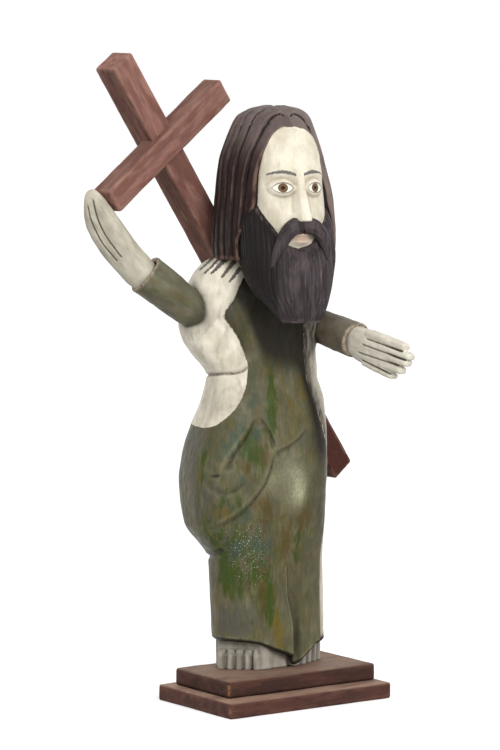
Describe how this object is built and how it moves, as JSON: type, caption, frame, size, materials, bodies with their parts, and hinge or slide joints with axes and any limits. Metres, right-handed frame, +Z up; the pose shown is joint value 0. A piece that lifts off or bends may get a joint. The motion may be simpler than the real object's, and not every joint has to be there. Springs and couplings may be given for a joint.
{
  "type": "christ carrying cross carving",
  "caption": "Painted wood folk carving of a robed, bearded figure carrying a cross on its back, standing on a stepped plinth.",
  "frame": {"origin": "centre of the lower plinth board's underside, on the surface that the carving stands on", "axes": "+Z up; the plinth's front faces -Y and +X runs to the right of someone who looks at the front"},
  "size_m": [0.365, 0.2761, 0.6408],
  "materials": {
    "plinth_paint": "worn dark brown paint over pine",
    "robe_paint": "satin olive paint, mottled and worn",
    "arm_paint": "olive sleeves and cream hands, worn",
    "cross_paint": "matte reddish brown paint, grimy"
  },
  "bodies": {
    "root": {"lower_plinth": "plinth_paint", "upper_plinth": "plinth_paint", "figure": "robe_paint", "right_arm": "arm_paint", "left_arm": "arm_paint", "cross_upright": "cross_paint", "cross_crossbar": "cross_paint"}
  },
  "joints": []
}
